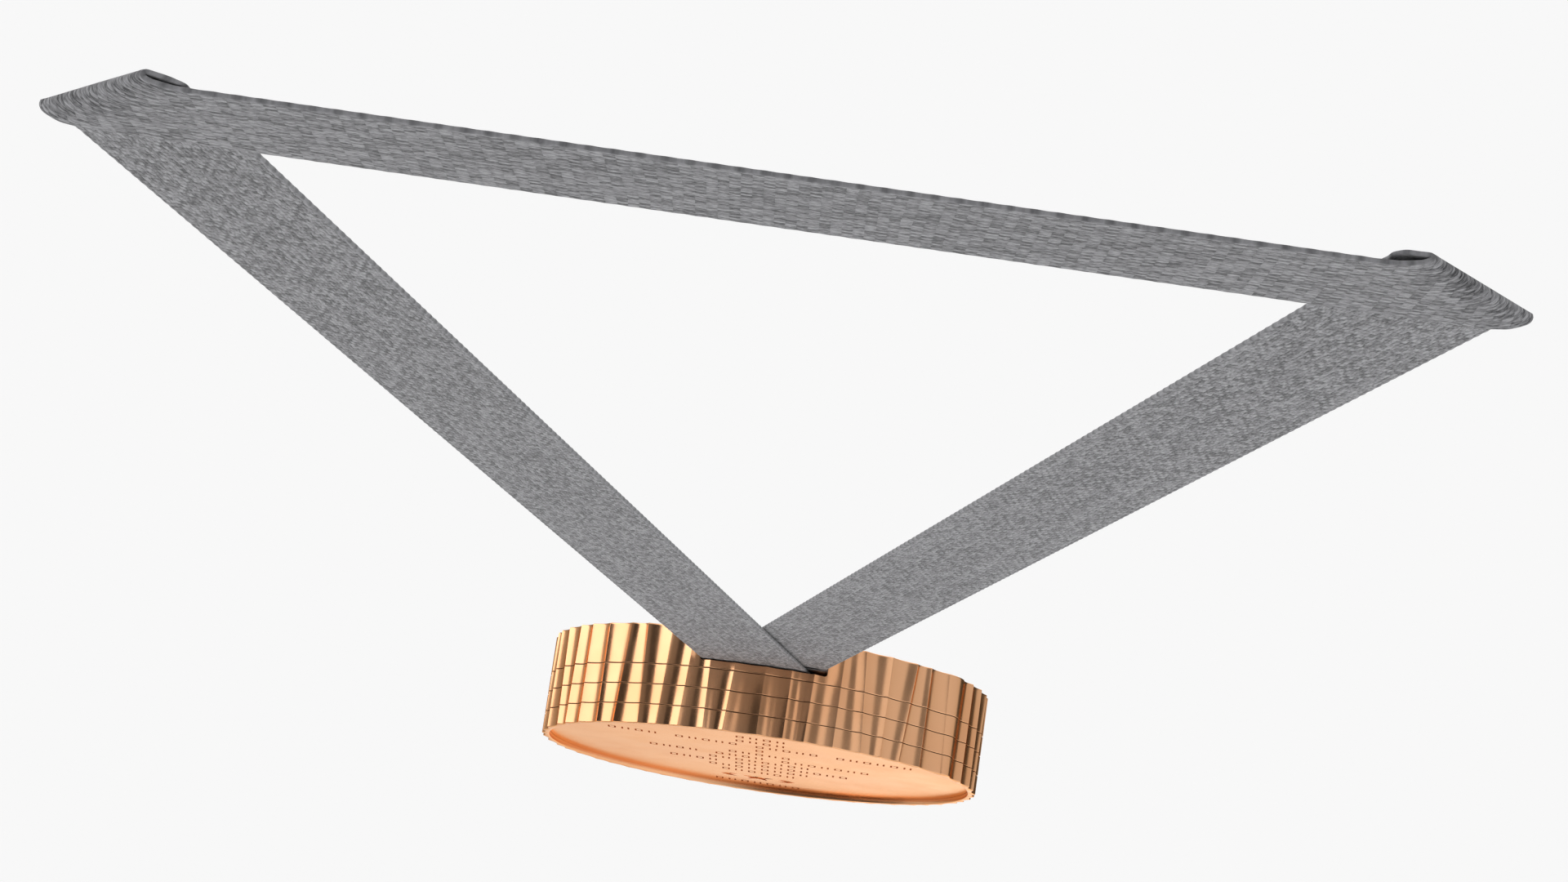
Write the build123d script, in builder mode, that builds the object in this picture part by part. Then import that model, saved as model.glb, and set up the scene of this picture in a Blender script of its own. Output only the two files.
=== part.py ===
from build123d import *
import math
import os

# Sports finisher medal on a closed neck ribbon, hanging as worn.
# Millimetres, +Z up, the face of the medal looks along -Y.
# The origin is the middle of the neck strap, on the side that lies on the neck.
# The medal is a stack of four fluted layers with an engraved plate in each face.
# The ribbon goes round a steel bar inside a slot in the top of the back layer.

# Medal
MEDAL_RADIUS = 42.0
LAYER_THICKNESS = 3.76
BACK_LAYER_THICKNESS = 7.52
SEAM_WIDTH = 0.2
SEAM_DEPTH = 1.0
FLUTE_DEPTH = 0.53
FLUTE_COUNT = 54
FLUTE_START = 37.33

# Each flute edge stands a little off its even place, in parts of the flute pitch,
# so the flutes widen and narrow from front to back. The run repeats round the rim.
EDGE_SHIFT_FRONT = (-0.21, 0.11, 0.20, 0.09, -0.06, 0.11, 0.25, 0.06, 0.04,
                    0.34, 0.10, 0.11, 0.0, -0.19, 0.0, -0.10, 0.04, 0.05)
EDGE_SHIFT_BACK = (0.05, 0.12, -0.12, 0.09, 0.26, 0.11, 0.16, 0.06, 0.04,
                   0.13, 0.21, -0.08, -0.14, 0.0, -0.22, -0.04, 0.04, -0.07)

# Face plate and its engraving
RIM_WIDTH = 1.46
RECESS_DEPTH = 0.93
FACE_PLATE_THICKNESS = 1.2
PLATE_CLEARANCE = 0.05
MARK_HEIGHT = 2.6
MARK_WIDTH = 1.5
MARK_STROKE = 0.34
MARK_PITCH = 2.55
MARK_DEPTH = 0.18
ROW_PITCH = 5.32
TOP_ROW_HEIGHT = 29.0
ROW_GROUPS = ((4,), (4,), (4, 5, 5, 6), (1,), (5,), (4, 4, 7), (8,), (4, 9), (8,), (6,))
LAST_ROW_HEIGHT = -34.6
LAST_ROW_GROUPS = (7,)
STAR_HEIGHT = -26.9
STAR_RADIUS = 3.4
STAR_INNER = 1.5
STAR_POINTS = 5
CHEVRON_REACH = 5.6
CHEVRON_SIZE = 1.6

# Back plate and its screws
BACK_RIM_WIDTH = 3.0
BACK_RECESS_DEPTH = 0.4
BACK_PLATE_THICKNESS = 0.7
BACK_EMBLEM_RADIUS = 12.0
BACK_EMBLEM_INNER = 5.2
SCREW_CIRCLE = 24.0
SCREW_COUNT = 4
SCREW_RADIUS = 1.0
SCREW_HEAD_RADIUS = 1.9
SCREW_HEAD_HEIGHT = 0.35
SCREW_LENGTH = 4.5
SCREW_SLOT_WIDTH = 0.4
SCREW_SLOT_DEPTH = 0.2
SCREW_CLEARANCE = 0.05

# Dowels that line the layers up
DOWEL_CIRCLE = 31.0
DOWEL_COUNT = 4
DOWEL_RADIUS = 2.0
DOWEL_START = 2.6
DOWEL_BACK_REACH = 2.82
DOWEL_CLEARANCE = 0.02

# Ribbon, bar and slot
RIBBON_WIDTH = 19.35
RIBBON_THICKNESS = 0.55
LEG_GAP = 0.12
LEG_LEAN = 12.06
BAR_RADIUS = 1.2
BAR_GAP = 0.1
BAR_SEAT = 3.0
BAR_SEAT_CLEARANCE = 0.03
BAR_BELOW_RIM = 9.46
SLOT_FRONT_WALL = 1.39
SLOT_SIDE_ROOM = 1.91
SLOT_CLEARANCE = 0.35
RIBBON_OFFSET = -1.49
SLOT_SHIFT = 0.31
EDGE_CLEARANCE = 0.1
FOLD_CLEARANCE = 0.03
NECK_RISE = 342.87
NECK_TILT = 0.92
NECK_CLEARANCE = 0.05
BEND_ABOVE_RIM = 0.6
BEND_ROOM = 0.02
BEND_CLEARANCE = 0.17

# Worked out from the sizes above
MEDAL_THICKNESS = 3 * LAYER_THICKNESS + BACK_LAYER_THICKNESS
FLUTE_PITCH = 360 / FLUTE_COUNT
PLATE_RADIUS = MEDAL_RADIUS - RIM_WIDTH
BACK_PLATE_RADIUS = MEDAL_RADIUS - BACK_RIM_WIDTH
LEAN = math.radians(LEG_LEAN)
TILT = math.radians(NECK_TILT)
NECK_DROP = RIBBON_WIDTH * math.cos(TILT)
RIBBON_LAP = RIBBON_THICKNESS + LEG_GAP
WRAP_INNER = BAR_RADIUS + BAR_GAP
WRAP_OUTER = WRAP_INNER + RIBBON_THICKNESS
SLOT_HALF_HEIGHT = WRAP_OUTER + SLOT_CLEARANCE
BAR_BEHIND_FACE = 3 * LAYER_THICKNESS + SLOT_FRONT_WALL + SLOT_HALF_HEIGHT
LEFT_LEG_Y = RIBBON_WIDTH / 2 * math.sin(TILT) + NECK_CLEARANCE
RIGHT_LEG_Y = LEFT_LEG_Y + RIBBON_LAP
BAR_Y = LEFT_LEG_Y + WRAP_OUTER
BAR_Z = NECK_DROP / 2 - NECK_RISE
FACE_Y = BAR_Y - BAR_BEHIND_FACE
MEDAL_X = -RIBBON_OFFSET
MEDAL_Z = BAR_Z - (MEDAL_RADIUS - BAR_BELOW_RIM)
BEND_Y = (LEFT_LEG_Y + RIGHT_LEG_Y + RIBBON_THICKNESS) / 2
BEND_Z = MEDAL_Z + MEDAL_RADIUS + BEND_ABOVE_RIM
BEND_RISE = BEND_Z - BAR_Z
BEND_RADIUS = (RIBBON_LAP + RIBBON_THICKNESS) / 2 + BEND_ROOM
HALF_FOOT = RIBBON_WIDTH / 2 / math.cos(LEAN)
SLOT_WIDTH = 2 * (HALF_FOOT + SLOT_SIDE_ROOM)
NECK_TOP_Z = NECK_DROP / 2
NECK_BOTTOM_Z = -NECK_DROP / 2
FOLD_TOP_X = NECK_RISE * math.tan(LEAN) - HALF_FOOT
FOLD_BOTTOM_X = (NECK_RISE - NECK_DROP) * math.tan(LEAN) + HALF_FOOT
REACH = 2 * MEDAL_RADIUS

os.makedirs("parts", exist_ok=True)


def medal_plane(depth):
    """Plane parallel to the face, this far behind it, centred on the medal."""
    return Plane(
        origin=(MEDAL_X, FACE_Y + depth, MEDAL_Z),
        x_dir=(1, 0, 0),
        z_dir=(0, -1, 0),
    )


def facing_plane(depth):
    """Plane parallel to the face at this depth, on the ribbon's own centre line."""
    return Plane(origin=(0, depth, 0), x_dir=(1, 0, 0), z_dir=(0, -1, 0))


def side_plane(depth, height, across=0):
    """Plane square to X, with its own x along Y and its own y along Z."""
    return Plane(origin=(across, depth, height), x_dir=(0, 1, 0), z_dir=(1, 0, 0))


def edge_angle(index, depth):
    """Angle of one flute edge at this depth behind the face."""
    turn = index % FLUTE_COUNT
    place = turn % len(EDGE_SHIFT_FRONT)
    front = EDGE_SHIFT_FRONT[place]
    back = EDGE_SHIFT_BACK[place]
    shift = front + (back - front) * depth / MEDAL_THICKNESS
    return math.radians(FLUTE_START + (index + shift) * FLUTE_PITCH)


def flute_outline(depth):
    """Closed ring of hollow flutes that meet at sharp edges on the full radius."""
    with BuildLine() as ring:
        for index in range(FLUTE_COUNT):
            start = edge_angle(index, depth)
            end = edge_angle(index + 1, depth)
            if index == FLUTE_COUNT - 1:
                end = edge_angle(0, depth) + 2 * math.pi
            middle = (start + end) / 2
            chord_radius = MEDAL_RADIUS * math.cos((end - start) / 2)
            low = chord_radius - FLUTE_DEPTH
            ThreePointArc(
                (MEDAL_RADIUS * math.cos(start), MEDAL_RADIUS * math.sin(start)),
                (low * math.cos(middle), low * math.sin(middle)),
                (MEDAL_RADIUS * math.cos(end), MEDAL_RADIUS * math.sin(end)),
            )
    return ring.line


def leg_outline(side, bottom, top):
    """Slanted band between two heights above the bar; side is -1 left, +1 right."""
    low = side * bottom * math.tan(LEAN)
    high = side * top * math.tan(LEAN)
    return (
        (low - HALF_FOOT, BAR_Z + bottom),
        (low + HALF_FOOT, BAR_Z + bottom),
        (high + HALF_FOOT, BAR_Z + top),
        (high - HALF_FOOT, BAR_Z + top),
    )


def mark_places(kind):
    """Centres of the engraved marks; kind 0 is a closed link, kind 1 a pair of bars."""
    heights = [TOP_ROW_HEIGHT - index * ROW_PITCH for index in range(len(ROW_GROUPS))]
    rows = list(zip(heights, ROW_GROUPS)) + [(LAST_ROW_HEIGHT, LAST_ROW_GROUPS)]
    places = []
    for height, groups in rows:
        seats = sum(groups) + len(groups) - 1
        seat = 0
        for group in groups:
            for mark in range(group):
                across = (seat - (seats - 1) / 2) * MARK_PITCH
                if mark % 2 == kind:
                    places.append((across, height))
                seat += 1
            seat += 1
    return places


LAYER_STARTS = [index * LAYER_THICKNESS for index in range(4)]
SECOND_START = LAYER_STARTS[1]
THIRD_START = LAYER_STARTS[2]
BACK_START = LAYER_STARTS[3]
DOWEL_END = BACK_START + DOWEL_BACK_REACH

# Front layer: fluted ring with the pocket that holds the face plate
with BuildPart() as front_layer:
    with BuildSketch(medal_plane(0)):
        with BuildLine():
            add(flute_outline(0))
        make_face()
    with BuildSketch(medal_plane(SECOND_START)):
        with BuildLine():
            add(flute_outline(SECOND_START))
        make_face()
    loft(ruled=True)
    with BuildSketch(medal_plane(0)):
        Circle(PLATE_RADIUS)
    extrude(amount=-(RECESS_DEPTH + FACE_PLATE_THICKNESS), mode=Mode.SUBTRACT)
    with BuildSketch(medal_plane(SECOND_START)):
        Circle(MEDAL_RADIUS + 1)
        Circle(MEDAL_RADIUS - SEAM_DEPTH, mode=Mode.SUBTRACT)
    extrude(amount=SEAM_WIDTH, mode=Mode.SUBTRACT)
    with BuildSketch(medal_plane(SECOND_START)):
        with PolarLocations(DOWEL_CIRCLE, DOWEL_COUNT, 45):
            Circle(DOWEL_RADIUS + DOWEL_CLEARANCE)
    extrude(amount=SECOND_START - DOWEL_START, mode=Mode.SUBTRACT)
front_layer.part.label = "front_layer"
export_step(front_layer.part, "parts/front_layer.step")

# Second layer
with BuildPart() as second_layer:
    with BuildSketch(medal_plane(SECOND_START)):
        with BuildLine():
            add(flute_outline(SECOND_START))
        make_face()
    with BuildSketch(medal_plane(THIRD_START)):
        with BuildLine():
            add(flute_outline(THIRD_START))
        make_face()
    loft(ruled=True)
    with BuildSketch(medal_plane(THIRD_START)):
        Circle(MEDAL_RADIUS + 1)
        Circle(MEDAL_RADIUS - SEAM_DEPTH, mode=Mode.SUBTRACT)
    extrude(amount=SEAM_WIDTH, mode=Mode.SUBTRACT)
    with BuildSketch(medal_plane(SECOND_START)):
        with PolarLocations(DOWEL_CIRCLE, DOWEL_COUNT, 45):
            Circle(DOWEL_RADIUS + DOWEL_CLEARANCE)
    extrude(amount=-LAYER_THICKNESS, mode=Mode.SUBTRACT)
second_layer.part.label = "second_layer"
export_step(second_layer.part, "parts/second_layer.step")

# Third layer
with BuildPart() as third_layer:
    with BuildSketch(medal_plane(THIRD_START)):
        with BuildLine():
            add(flute_outline(THIRD_START))
        make_face()
    with BuildSketch(medal_plane(BACK_START)):
        with BuildLine():
            add(flute_outline(BACK_START))
        make_face()
    loft(ruled=True)
    with BuildSketch(medal_plane(BACK_START)):
        Circle(MEDAL_RADIUS + 1)
        Circle(MEDAL_RADIUS - SEAM_DEPTH, mode=Mode.SUBTRACT)
    extrude(amount=SEAM_WIDTH, mode=Mode.SUBTRACT)
    with BuildSketch(medal_plane(THIRD_START)):
        with PolarLocations(DOWEL_CIRCLE, DOWEL_COUNT, 45):
            Circle(DOWEL_RADIUS + DOWEL_CLEARANCE)
    extrude(amount=-LAYER_THICKNESS, mode=Mode.SUBTRACT)
third_layer.part.label = "third_layer"
export_step(third_layer.part, "parts/third_layer.step")

# Back layer: twice as thick, with the ribbon slot, the seats of the bar,
# the shallow seat of the back plate and the screw holes
PLATE_SEAT = MEDAL_THICKNESS - BACK_RECESS_DEPTH - BACK_PLATE_THICKNESS
SEAT_RADIUS = BAR_RADIUS + BAR_SEAT_CLEARANCE
SLOT_FLOOR_Z = BAR_Z - SLOT_HALF_HEIGHT
SLOT_RISE = MEDAL_Z + MEDAL_RADIUS + 1 - SLOT_FLOOR_Z
BAR_LENGTH = SLOT_WIDTH + 2 * BAR_SEAT
with BuildPart() as back_layer:
    with BuildSketch(medal_plane(BACK_START)):
        with BuildLine():
            add(flute_outline(BACK_START))
        make_face()
    with BuildSketch(medal_plane(MEDAL_THICKNESS)):
        with BuildLine():
            add(flute_outline(MEDAL_THICKNESS))
        make_face()
    loft(ruled=True)
    with BuildSketch(medal_plane(MEDAL_THICKNESS)):
        Circle(BACK_PLATE_RADIUS)
    extrude(amount=MEDAL_THICKNESS - PLATE_SEAT, mode=Mode.SUBTRACT)
    with BuildSketch(facing_plane(BAR_Y + SLOT_HALF_HEIGHT)):
        with Locations((SLOT_SHIFT, SLOT_FLOOR_Z)):
            Rectangle(SLOT_WIDTH, SLOT_RISE, align=(Align.CENTER, Align.MIN))
    extrude(amount=2 * SLOT_HALF_HEIGHT, mode=Mode.SUBTRACT)
    with BuildSketch(side_plane(BAR_Y, BAR_Z, SLOT_SHIFT)):
        Circle(SEAT_RADIUS)
        Rectangle(
            FACE_Y + PLATE_SEAT - BAR_Y,
            2 * SEAT_RADIUS,
            align=(Align.MIN, Align.CENTER),
        )
    extrude(amount=BAR_LENGTH / 2 + EDGE_CLEARANCE, both=True, mode=Mode.SUBTRACT)
    with BuildSketch(medal_plane(BACK_START)):
        with PolarLocations(DOWEL_CIRCLE, DOWEL_COUNT, 45):
            Circle(DOWEL_RADIUS + DOWEL_CLEARANCE)
    extrude(amount=-(DOWEL_END - BACK_START), mode=Mode.SUBTRACT)
    with BuildSketch(medal_plane(PLATE_SEAT)):
        with PolarLocations(SCREW_CIRCLE, SCREW_COUNT, 45):
            Circle(SCREW_RADIUS + SCREW_CLEARANCE)
    extrude(amount=SCREW_LENGTH, mode=Mode.SUBTRACT)
back_layer.part.label = "back_layer"
export_step(back_layer.part, "parts/back_layer.step")

# Face plate: thin disc in the front pocket, engraved with rows of plain ticks,
# a star between two chevrons, and a last row of ticks
with BuildPart() as face_plate:
    with BuildSketch(medal_plane(RECESS_DEPTH)):
        Circle(PLATE_RADIUS - PLATE_CLEARANCE)
    extrude(amount=-FACE_PLATE_THICKNESS)
    with BuildSketch(medal_plane(RECESS_DEPTH)):
        with Locations(*(mark_places(0) + mark_places(1))):
            Rectangle(MARK_WIDTH, MARK_HEIGHT)
        with Locations(*mark_places(0)):
            Rectangle(
                MARK_WIDTH - 2 * MARK_STROKE,
                MARK_HEIGHT - 2 * MARK_STROKE,
                mode=Mode.SUBTRACT,
            )
        with Locations(*mark_places(1)):
            Rectangle(
                MARK_WIDTH - 2 * MARK_STROKE,
                MARK_HEIGHT,
                mode=Mode.SUBTRACT,
            )
        star_points = []
        for index in range(2 * STAR_POINTS):
            reach = STAR_RADIUS if index % 2 == 0 else STAR_INNER
            angle = math.pi / 2 + index * math.pi / STAR_POINTS
            across = reach * math.cos(angle)
            up = STAR_HEIGHT + reach * math.sin(angle)
            star_points.append((across, up))
        with BuildLine():
            Polyline(*star_points, close=True)
        make_face()
        for side in (-1, 1):
            with BuildLine():
                Polyline(
                    (side * CHEVRON_REACH, STAR_HEIGHT),
                    (side * (CHEVRON_REACH - CHEVRON_SIZE), STAR_HEIGHT + CHEVRON_SIZE),
                    (side * (CHEVRON_REACH + 0.2), STAR_HEIGHT + CHEVRON_SIZE),
                    (side * (CHEVRON_REACH + CHEVRON_SIZE + 0.2), STAR_HEIGHT),
                    (side * (CHEVRON_REACH + 0.2), STAR_HEIGHT - CHEVRON_SIZE),
                    (side * (CHEVRON_REACH - CHEVRON_SIZE), STAR_HEIGHT - CHEVRON_SIZE),
                    close=True,
                )
            make_face()
    extrude(amount=-MARK_DEPTH, mode=Mode.SUBTRACT)
face_plate.part.label = "face_plate"
export_step(face_plate.part, "parts/face_plate.step")

# Back plate: covers the bar and is held by four countersunk-style flush screws
with BuildPart() as back_plate:
    with BuildSketch(medal_plane(PLATE_SEAT)):
        Circle(BACK_PLATE_RADIUS - PLATE_CLEARANCE)
    extrude(amount=-BACK_PLATE_THICKNESS)
    with BuildSketch(medal_plane(PLATE_SEAT)):
        with PolarLocations(SCREW_CIRCLE, SCREW_COUNT, 45):
            Circle(SCREW_RADIUS + SCREW_CLEARANCE)
    extrude(amount=-BACK_PLATE_THICKNESS, mode=Mode.SUBTRACT)
    with BuildSketch(medal_plane(PLATE_SEAT + BACK_PLATE_THICKNESS)):
        with PolarLocations(SCREW_CIRCLE, SCREW_COUNT, 45):
            Circle(SCREW_HEAD_RADIUS + SCREW_CLEARANCE)
    extrude(amount=SCREW_HEAD_HEIGHT, mode=Mode.SUBTRACT)
    with BuildSketch(medal_plane(PLATE_SEAT + BACK_PLATE_THICKNESS)):
        emblem_points = []
        for index in range(2 * STAR_POINTS):
            reach = BACK_EMBLEM_RADIUS if index % 2 == 0 else BACK_EMBLEM_INNER
            angle = math.pi / 2 + index * math.pi / STAR_POINTS
            emblem_points.append((reach * math.cos(angle), reach * math.sin(angle)))
        with BuildLine():
            Polyline(*emblem_points, close=True)
        make_face()
    extrude(amount=MARK_DEPTH, mode=Mode.SUBTRACT)
back_plate.part.label = "back_plate"
export_step(back_plate.part, "parts/back_plate.step")

# Four flat-headed slotted screws of the back plate
HEAD_TOP = PLATE_SEAT + BACK_PLATE_THICKNESS
with BuildPart() as back_screws:
    with BuildSketch(medal_plane(HEAD_TOP)):
        with PolarLocations(SCREW_CIRCLE, SCREW_COUNT, 45):
            Circle(SCREW_HEAD_RADIUS)
    extrude(amount=SCREW_HEAD_HEIGHT)
    with BuildSketch(medal_plane(HEAD_TOP - SCREW_HEAD_HEIGHT)):
        with PolarLocations(SCREW_CIRCLE, SCREW_COUNT, 45):
            Circle(SCREW_RADIUS)
    extrude(amount=SCREW_LENGTH)
    with BuildSketch(medal_plane(HEAD_TOP)):
        with PolarLocations(SCREW_CIRCLE, SCREW_COUNT, 45):
            Rectangle(2 * SCREW_HEAD_RADIUS + 1, SCREW_SLOT_WIDTH)
    extrude(amount=SCREW_SLOT_DEPTH, mode=Mode.SUBTRACT)
back_screws.part.label = "back_screws"
export_step(back_screws.part, "parts/back_screws.step")

# Dowels through the stack
with BuildPart() as dowel_pins:
    with BuildSketch(medal_plane(DOWEL_START)):
        with PolarLocations(DOWEL_CIRCLE, DOWEL_COUNT, 45):
            Circle(DOWEL_RADIUS)
    extrude(amount=-(DOWEL_END - DOWEL_START))
dowel_pins.part.label = "dowel_pins"
export_step(dowel_pins.part, "parts/dowel_pins.step")

# Steel bar across the slot
with BuildPart() as ribbon_bar:
    with BuildSketch(side_plane(BAR_Y, BAR_Z, SLOT_SHIFT)):
        Circle(BAR_RADIUS)
    extrude(amount=BAR_LENGTH / 2, both=True)
    chamfer(ribbon_bar.faces().group_by(Axis.X)[0].edges(), BAR_RADIUS / 4)
    chamfer(ribbon_bar.faces().group_by(Axis.X)[-1].edges(), BAR_RADIUS / 4)
ribbon_bar.part.label = "ribbon_bar"
export_step(ribbon_bar.part, "parts/ribbon_bar.step")

# Ribbon where it turns under the bar
with BuildPart() as ribbon_turn:
    with BuildSketch(side_plane(BAR_Y, BAR_Z)):
        Circle(WRAP_OUTER)
        Circle(WRAP_INNER, mode=Mode.SUBTRACT)
        Rectangle(
            4 * WRAP_OUTER,
            2 * WRAP_OUTER,
            align=(Align.CENTER, Align.MIN),
            mode=Mode.SUBTRACT,
        )
    extrude(amount=HALF_FOOT, both=True)
ribbon_turn.part.label = "ribbon_turn"
export_step(ribbon_turn.part, "parts/ribbon_turn.step")

# Ribbon from the front of the bar up to the bend above the rim
with BuildPart() as front_lead:
    with BuildSketch(facing_plane(LEFT_LEG_Y)):
        with BuildLine():
            Polyline(*leg_outline(-1, 0, BEND_RISE + BEND_RADIUS), close=True)
        make_face()
        with Locations((SLOT_SHIFT, BAR_Z)):
            Rectangle(
                SLOT_WIDTH - 2 * EDGE_CLEARANCE,
                REACH,
                mode=Mode.INTERSECT,
            )
    extrude(amount=-RIBBON_THICKNESS)
    with BuildSketch(side_plane(BEND_Y, BEND_Z)):
        Rectangle(REACH, REACH, align=(Align.CENTER, Align.MIN))
        Circle(BEND_RADIUS, mode=Mode.SUBTRACT)
    extrude(amount=REACH, both=True, mode=Mode.SUBTRACT)
front_lead.part.label = "front_lead"
export_step(front_lead.part, "parts/front_lead.step")

# Ribbon from the back of the bar, leaning forward, up to the same bend
BACK_FOOT = WRAP_INNER
BACK_HEAD = RIGHT_LEG_Y - BAR_Y
with BuildPart() as back_lead:
    with BuildSketch(side_plane(BAR_Y, BAR_Z)):
        with BuildLine():
            Polyline(
                (BACK_FOOT, 0),
                (BACK_FOOT + RIBBON_THICKNESS, 0),
                (BACK_HEAD + RIBBON_THICKNESS, BEND_RISE),
                (BACK_HEAD + RIBBON_THICKNESS, BEND_RISE + BEND_RADIUS),
                (BACK_HEAD, BEND_RISE + BEND_RADIUS),
                (BACK_HEAD, BEND_RISE),
                close=True,
            )
        make_face()
    extrude(amount=REACH, both=True)
    with BuildSketch(facing_plane(LEFT_LEG_Y - REACH)):
        with BuildLine():
            Polyline(*leg_outline(1, 0, BEND_RISE + BEND_RADIUS), close=True)
        make_face()
        with Locations((SLOT_SHIFT, BAR_Z)):
            Rectangle(
                SLOT_WIDTH - 2 * EDGE_CLEARANCE,
                REACH,
                mode=Mode.INTERSECT,
            )
    extrude(amount=-2 * REACH, mode=Mode.INTERSECT)
    with BuildSketch(side_plane(BEND_Y, BEND_Z)):
        Rectangle(REACH, REACH, align=(Align.CENTER, Align.MIN))
        Circle(BEND_RADIUS, mode=Mode.SUBTRACT)
    extrude(amount=REACH, both=True, mode=Mode.SUBTRACT)
back_lead.part.label = "back_lead"
export_step(back_lead.part, "parts/back_lead.step")

# Left leg, in front of the right one where they cross above the medal
with BuildPart() as left_leg:
    with BuildSketch(facing_plane(LEFT_LEG_Y)):
        with BuildLine():
            Polyline(
                (-BEND_RISE * math.tan(LEAN) - HALF_FOOT, BEND_Z),
                (-BEND_RISE * math.tan(LEAN) + HALF_FOOT, BEND_Z),
                (-FOLD_TOP_X, NECK_TOP_Z),
                (-FOLD_BOTTOM_X, NECK_BOTTOM_Z),
                close=True,
            )
        make_face()
    extrude(amount=-RIBBON_THICKNESS)
    with BuildSketch(side_plane(BEND_Y, BEND_Z)):
        Circle(BEND_RADIUS + BEND_CLEARANCE)
    extrude(amount=REACH, both=True, mode=Mode.SUBTRACT)
left_leg.part.label = "left_leg"
export_step(left_leg.part, "parts/left_leg.step")

# Right leg
with BuildPart() as right_leg:
    with BuildSketch(facing_plane(RIGHT_LEG_Y)):
        with BuildLine():
            Polyline(
                (BEND_RISE * math.tan(LEAN) + HALF_FOOT, BEND_Z),
                (BEND_RISE * math.tan(LEAN) - HALF_FOOT, BEND_Z),
                (FOLD_TOP_X, NECK_TOP_Z),
                (FOLD_BOTTOM_X, NECK_BOTTOM_Z),
                close=True,
            )
        make_face()
    extrude(amount=-RIBBON_THICKNESS)
    with BuildSketch(side_plane(BEND_Y, BEND_Z)):
        Circle(BEND_RADIUS + BEND_CLEARANCE)
    extrude(amount=REACH, both=True, mode=Mode.SUBTRACT)
right_leg.part.label = "right_leg"
export_step(right_leg.part, "parts/right_leg.step")

# Neck strap, tipped forward at its lower edge
NECK_PLANE = Plane(
    origin=(0, 0, 0),
    x_dir=(1, 0, 0),
    z_dir=(0, -math.cos(TILT), math.sin(TILT)),
)
with BuildPart() as neck_strap:
    with BuildSketch(NECK_PLANE):
        with BuildLine():
            Polyline(
                (-FOLD_BOTTOM_X, -RIBBON_WIDTH / 2),
                (FOLD_BOTTOM_X, -RIBBON_WIDTH / 2),
                (FOLD_TOP_X, RIBBON_WIDTH / 2),
                (-FOLD_TOP_X, RIBBON_WIDTH / 2),
                close=True,
            )
        make_face()
    extrude(amount=RIBBON_THICKNESS)
neck_strap.part.label = "neck_strap"
export_step(neck_strap.part, "parts/neck_strap.step")

# Rounded folds where the neck strap turns back into each leg
FOLD_RUN = FOLD_BOTTOM_X - FOLD_TOP_X
FOLD_LENGTH = math.hypot(FOLD_RUN, NECK_DROP)
STRAP_TOP_Y = RIBBON_WIDTH / 2 * math.sin(TILT) - RIBBON_THICKNESS
STRAP_BOTTOM_Y = -RIBBON_WIDTH / 2 * math.sin(TILT) - RIBBON_THICKNESS


def fold_plane(side, across, height, depth):
    """Plane square to a fold line, its own x pointing out of the loop."""
    out = FOLD_CLEARANCE * NECK_DROP / FOLD_LENGTH
    up = FOLD_CLEARANCE * FOLD_RUN / FOLD_LENGTH
    return Plane(
        origin=(side * (across + out), depth, height + up),
        x_dir=(side * NECK_DROP / FOLD_LENGTH, 0, FOLD_RUN / FOLD_LENGTH),
        z_dir=(-side * FOLD_RUN / FOLD_LENGTH, 0, NECK_DROP / FOLD_LENGTH),
    )


LEFT_TOP_HALF = (LEFT_LEG_Y + RIBBON_THICKNESS - STRAP_TOP_Y) / 2
LEFT_BOTTOM_HALF = (LEFT_LEG_Y + RIBBON_THICKNESS - STRAP_BOTTOM_Y) / 2
RIGHT_TOP_HALF = (RIGHT_LEG_Y + RIBBON_THICKNESS - STRAP_TOP_Y) / 2
RIGHT_BOTTOM_HALF = (RIGHT_LEG_Y + RIBBON_THICKNESS - STRAP_BOTTOM_Y) / 2

with BuildPart() as left_fold:
    with BuildSketch(
        fold_plane(-1, FOLD_BOTTOM_X, NECK_BOTTOM_Z, STRAP_BOTTOM_Y + LEFT_BOTTOM_HALF)
    ):
        Circle(LEFT_BOTTOM_HALF)
        Circle(LEFT_BOTTOM_HALF - RIBBON_THICKNESS, mode=Mode.SUBTRACT)
        Rectangle(REACH, REACH, align=(Align.MAX, Align.CENTER), mode=Mode.SUBTRACT)
    with BuildSketch(
        fold_plane(-1, FOLD_TOP_X, NECK_TOP_Z, STRAP_TOP_Y + LEFT_TOP_HALF)
    ):
        Circle(LEFT_TOP_HALF)
        Circle(LEFT_TOP_HALF - RIBBON_THICKNESS, mode=Mode.SUBTRACT)
        Rectangle(REACH, REACH, align=(Align.MAX, Align.CENTER), mode=Mode.SUBTRACT)
    loft(ruled=True)
left_fold.part.label = "left_fold"
export_step(left_fold.part, "parts/left_fold.step")

with BuildPart() as right_fold:
    with BuildSketch(
        fold_plane(1, FOLD_BOTTOM_X, NECK_BOTTOM_Z, STRAP_BOTTOM_Y + RIGHT_BOTTOM_HALF)
    ):
        Circle(RIGHT_BOTTOM_HALF)
        Circle(RIGHT_BOTTOM_HALF - RIBBON_THICKNESS, mode=Mode.SUBTRACT)
        Rectangle(REACH, REACH, align=(Align.MAX, Align.CENTER), mode=Mode.SUBTRACT)
    with BuildSketch(
        fold_plane(1, FOLD_TOP_X, NECK_TOP_Z, STRAP_TOP_Y + RIGHT_TOP_HALF)
    ):
        Circle(RIGHT_TOP_HALF)
        Circle(RIGHT_TOP_HALF - RIBBON_THICKNESS, mode=Mode.SUBTRACT)
        Rectangle(REACH, REACH, align=(Align.MAX, Align.CENTER), mode=Mode.SUBTRACT)
    loft(ruled=True)
right_fold.part.label = "right_fold"
export_step(right_fold.part, "parts/right_fold.step")
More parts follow.
